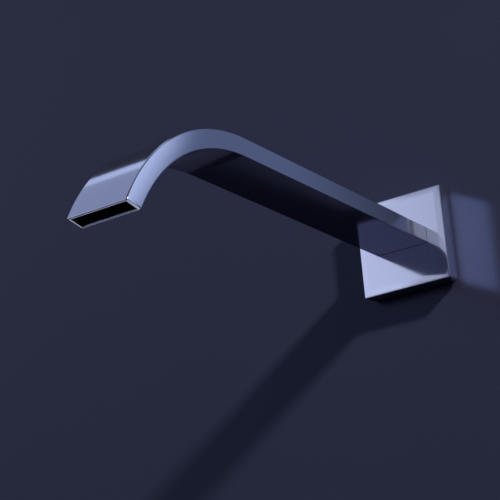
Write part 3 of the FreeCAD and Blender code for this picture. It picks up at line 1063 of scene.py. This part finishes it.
class SPOUT_OT_stage(bpy.types.Operator):
    """Set up the wall, the floor, the soft light and the camera"""
    bl_idname = "spout.stage"
    bl_label = "Wall, floor, light and camera"
    bl_options = {"REGISTER", "UNDO"}

    def execute(self, context):
        stage = bpy.context.scene.spout_stage
        bpy.context.scene.view_settings.view_transform = "Standard"
        self.wall(stage)
        self.floor(stage)
        self.room(stage)
        self.panels(stage)
        self.lamps(stage)
        self.camera(stage)
        return {"FINISHED"}

    def plane(self, name, material, width, height, place, turn=(0, 0, 0)):
        """Plain rectangle of the stage."""
        plane = add_plane(width, height, place, turn)
        plane.name = name
        plane.data.materials.append(material)
        return plane

    def clear_where(self, tree, surface, hidden):
        """Make a surface clear where a mask says so."""
        clear = add_node(tree, "ShaderNodeBsdfTransparent").outputs["BSDF"]
        either = add_node(tree, "ShaderNodeMixShader", {"Fac": hidden, 1: surface, 2: clear}).outputs["Shader"]
        output = next((node for node in tree.nodes if node.type == "OUTPUT_MATERIAL"), None)
        feed(tree, output or add_node(tree, "ShaderNodeOutputMaterial"), {"Surface": either})

    def wall(self, stage):
        """Painted wall, seen only from the room side. What touches it is lit from behind through it."""
        material, tree, shader = new_material("wall_paint")
        patches = noise_node(tree, object_place(tree), scale=6.0, detail=3.0)
        feed(tree, shader, {
            "Base Color": mixed_colour(tree, patches, stage.wall, stage.wall_patch),
            "Roughness": 0.3,
            "IOR": 1.36,
            "Specular Tint": (*stage.wall_sheen, 1.0),
        })
        behind = add_node(tree, "ShaderNodeNewGeometry").outputs["Backfacing"]
        path = add_node(tree, "ShaderNodeLightPath").outputs
        touching = math_node(tree, "LESS_THAN", path["Ray Length"], 2 * stage.wall_gap)
        self.clear_where(tree, shader.outputs["BSDF"], math_node(tree, "MAXIMUM", touching, behind))
        middle = (stage.wall_top - stage.floor_drop) / 2
        self.plane("wall", material, stage.wall_width, stage.wall_top + stage.floor_drop,
                   (0, stage.wall_gap, middle), FACING_ROOM)

    def floor(self, stage):
        """Pale floor below the spout, seen only from above. Metal shows its part near the wall."""
        material, tree, shader = new_material("pale_floor")
        place = object_place(tree)
        patches = noise_node(tree, place, scale=3.0, detail=2.0)
        shade = [0.95 * value for value in stage.floor]
        feed(tree, shader, {"Base Color": mixed_colour(tree, patches, stage.floor, shade), "Roughness": 0.7})
        below = add_node(tree, "ShaderNodeNewGeometry").outputs["Backfacing"]
        far = math_node(tree, "LESS_THAN", axes(tree, place)["Y"], -stage.floor_shine)
        in_metal = add_node(tree, "ShaderNodeLightPath").outputs["Is Glossy Ray"]
        hidden = math_node(tree, "MAXIMUM", below, math_node(tree, "MULTIPLY", far, in_metal))
        self.clear_where(tree, shader.outputs["BSDF"], hidden)
        floor = self.plane("floor", material, stage.wall_width, stage.floor_depth,
                           (0, -stage.floor_depth / 2, -stage.floor_drop))
        floor.visible_diffuse = False

    def room(self, stage):
        """Pale room above the horizon, dark below it. Matt surfaces get a share of its light.

        The ceiling ahead is in shade, and so are the room's middle and right, as metal shows them.
        """
        world = bpy.data.worlds.new("soft_room")
        bpy.context.scene.world = world
        world.use_nodes = True
        tree = world.node_tree
        tree.nodes.clear()
        axis = axes(tree, add_node(tree, "ShaderNodeTexCoord").outputs["Generated"])
        ramp = add_node(tree, "ShaderNodeValToRGB", {"Fac": range_node(tree, axis["Z"], -1.0, 1.0)})
        low, high = ramp.color_ramp.elements
        low.position, low.color = LOW_UP_TO, (*stage.room_low, 1.0)
        high.position, high.color = HIGH_FROM, (*stage.room_high, 1.0)
        for position in PALE_FROM_TO:
            ramp.color_ramp.elements.new(position).color = (*stage.room_middle, 1.0)
        path = add_node(tree, "ShaderNodeLightPath").outputs
        seen = math_node(tree, "MAXIMUM", path["Is Camera Ray"], path["Is Glossy Ray"])
        seen = math_node(tree, "MAXIMUM", seen, path["Is Transmission Ray"])
        ceiling = math_node(tree, "MULTIPLY", range_node(tree, axis["Z"], *OVERHEAD),
                            range_node(tree, axis["Y"], *AHEAD))
        right = math_node(tree, "MAXIMUM", range_node(tree, axis["X"], *MIDDLE_FROM, 0.0, MIDDLE_SHADE),
                          range_node(tree, axis["X"], *RIGHT_FROM))
        right = math_node(tree, "MULTIPLY", right, path["Is Glossy Ray"])
        level = range_node(tree, seen, 0.0, 1.0, stage.room_light, 1.0)
        for shade, leaves in ((ceiling, CEILING_LEAVES), (right, RIGHT_LEAVES)):
            level = math_node(tree, "MULTIPLY", level, range_node(tree, shade, 0.0, 1.0, 1.0, leaves))
        background = add_node(tree, "ShaderNodeBackground", {"Color": ramp.outputs["Color"], "Strength": level})
        add_node(tree, "ShaderNodeOutputWorld", {"Surface": background.outputs["Background"]})

    def panel(self, name, tint, middle, size, soft, turn=0.0):
        """Rectangle in the wall's plane that glows to the room, with soft edges. The camera doesn't see it."""
        material, tree = new_tree(name)
        level = {"Vector": object_place(tree), "Center": middle, "Angle": -turn}
        upright = add_node(tree, "ShaderNodeVectorRotate", level, rotation_type="Y_AXIS")
        axis = axes(tree, upright.outputs["Vector"])
        behind = add_node(tree, "ShaderNodeNewGeometry").outputs["Backfacing"]
        shown = math_node(tree, "SUBTRACT", 1.0, behind)
        for value, centre, width in ((axis["X"], middle[0], size[0]), (axis["Z"], middle[2], size[1])):
            off = math_node(tree, "ABSOLUTE", math_node(tree, "SUBTRACT", value, centre))
            shown = math_node(tree, "MULTIPLY", shown, range_node(tree, off, width / 2, width / 2 - soft))
        glow = add_node(tree, "ShaderNodeEmission", {"Color": (*tint, 1.0)})
        self.clear_where(tree, glow.outputs["Emission"], math_node(tree, "SUBTRACT", 1.0, shown))
        panel = self.plane(name, material, *size, middle, (FACING_ROOM[0], turn, 0))
        panel.visible_camera = False
        panel.visible_shadow = False

    def panels(self, stage):
        strip = (1.4, 0.3)
        self.panel("faint_panel", stage.faint_panel, middle=(0.266, -0.001, 0.1), size=(0.48, 0.6), soft=0.075)
        self.panel("side_panel", stage.side_panel, middle=(0.44, -0.002, 0.108), size=(0.4, 0.4), soft=0.019,
                   turn=math.radians(45))
        self.panel("top_strip", stage.top_strip, middle=(-0.4, 0, stage.wall_top + strip[1] / 2), size=strip,
                   soft=0.02)

    def lamp(self, name, watts, tint, place, target, size, spread=math.pi):
        """Rectangular soft lamp that points at a target. The size is (width, height)."""
        clear_selection()
        bpy.ops.object.light_add(type="AREA", location=place)
        lamp = bpy.context.object
        lamp.name = name
        lamp.rotation_euler = (Vector(target) - Vector(place)).to_track_quat("-Z", "Y").to_euler()
        lamp.data.shape = "RECTANGLE"
        lamp.data.size, lamp.data.size_y = size
        lamp.data.energy = watts
        lamp.data.color = tint
        lamp.data.spread = spread
        lamp.visible_camera = False
        return lamp

    def lamps(self, stage):
        """Key lamp, rear lamp, and a narrow beam for the light that the plate's side throws on the wall."""
        self.lamp("key_lamp", stage.key_power, stage.lamp, place=(1.19, -0.58, 0.79), target=(0, -0.05, 0),
                  size=(0.1, 0.1))
        beam = Vector((20, 12, -14)).normalized()
        beam_length = 0.15
        middle = Vector((0.0355, 0, -0.0065))
        patch = self.lamp("patch_lamp", stage.patch_power, stage.patch, place=middle - beam_length * beam,
                          target=middle, size=(0.0103, 0.041), spread=math.radians(2.5))
        patch.visible_glossy = False
        patch.data.use_shadow = False
        self.lamp("rear_lamp", stage.rear_power, stage.lamp, place=(0.5, 1.0, 0.6), target=(0, 0, 0),
                  size=(0.6, 0.6))

    def camera(self, stage):
        yaw, pitch, roll = stage.camera_yaw, stage.camera_pitch, stage.camera_roll
        ahead = Vector((-math.sin(yaw) * math.cos(pitch), math.cos(yaw) * math.cos(pitch), math.sin(pitch)))
        right = Vector((math.cos(yaw), math.sin(yaw), 0))
        up = right.cross(ahead)
        across = math.cos(roll) * right + math.sin(roll) * up
        above = math.cos(roll) * up - math.sin(roll) * right
        clear_selection()
        bpy.ops.object.camera_add(location=stage.camera_place)
        camera = bpy.context.object
        camera.rotation_euler = Matrix((across, above, -ahead)).transposed().to_euler()
        camera.data.lens = stage.camera_lens
        camera.data.sensor_width = 36.0
        camera.data.clip_start = 0.01
        bpy.context.scene.camera = camera


OPERATORS = (SPOUT_OT_tube, SPOUT_OT_plate, SPOUT_OT_seals, SPOUT_OT_flange, SPOUT_OT_screws, SPOUT_OT_base,
             SPOUT_OT_small_parts, SPOUT_OT_stage)


class SPOUT_PT_panel(bpy.types.Panel):
    """Sidebar panel that lists the spout's pieces and its stage"""
    bl_idname = "SPOUT_PT_panel"
    bl_label = "Wall-mounted basin spout"
    bl_space_type = "VIEW_3D"
    bl_region_type = "UI"
    bl_category = "Spout"

    def draw(self, context):
        for operator in OPERATORS:
            self.layout.operator(operator.bl_idname)


CLASSES = (SpoutSizes, SpoutFinish, SpoutStage, *OPERATORS, SPOUT_PT_panel)


def register():
    for kind in CLASSES:
        bpy.utils.register_class(kind)
    bpy.types.Scene.spout_sizes = PointerProperty(type=SpoutSizes)
    bpy.types.Scene.spout_finish = PointerProperty(type=SpoutFinish)
    bpy.types.Scene.spout_stage = PointerProperty(type=SpoutStage)


def unregister():
    del bpy.types.Scene.spout_stage
    del bpy.types.Scene.spout_finish
    del bpy.types.Scene.spout_sizes
    for kind in reversed(CLASSES):
        bpy.utils.unregister_class(kind)


def main():
    register()
    clear_selection()
    for operator in (bpy.ops.spout.tube, bpy.ops.spout.plate, bpy.ops.spout.seals, bpy.ops.spout.flange,
                     bpy.ops.spout.screws, bpy.ops.spout.base, bpy.ops.spout.small_parts, bpy.ops.spout.stage):
        operator()
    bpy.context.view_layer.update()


if __name__ == "__main__":
    main()
